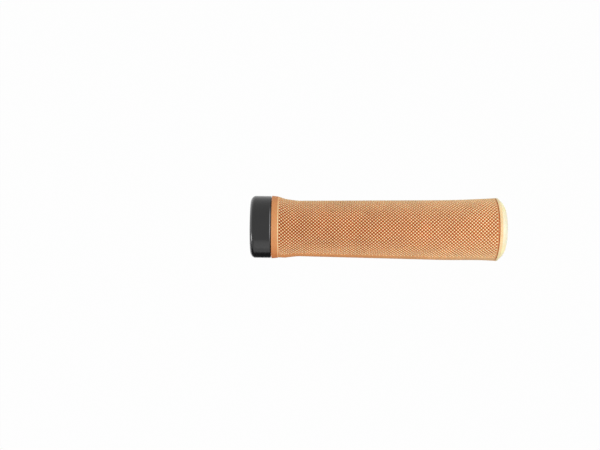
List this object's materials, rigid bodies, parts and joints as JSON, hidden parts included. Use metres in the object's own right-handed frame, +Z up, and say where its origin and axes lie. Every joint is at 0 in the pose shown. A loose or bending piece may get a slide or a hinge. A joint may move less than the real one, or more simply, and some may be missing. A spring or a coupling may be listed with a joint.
{
  "type": "handlebar grip",
  "caption": "Lock-on handlebar grip with a gum rubber sleeve in fine diamond knurl, closed rounded end and a black split clamp collar.",
  "frame": {"origin": "centre of the bar bore's mouth, on the inboard end face of the clamp collar", "axes": "+X outboard along the bar to the closed end, +Y forward, +Z up"},
  "size_m": [0.1395, 0.0346, 0.0363],
  "materials": {
    "gum_rubber": "satin moulded rubber, knurled",
    "black_plastic": "matte moulded",
    "black_anodised": "satin black anodised",
    "black_steel": "black oxide"
  },
  "bodies": {
    "root": {"rubber_sleeve": "gum_rubber", "inner_core": "black_plastic", "lock_ring": "black_anodised", "clamp_screw": "black_steel"}
  },
  "joints": []
}
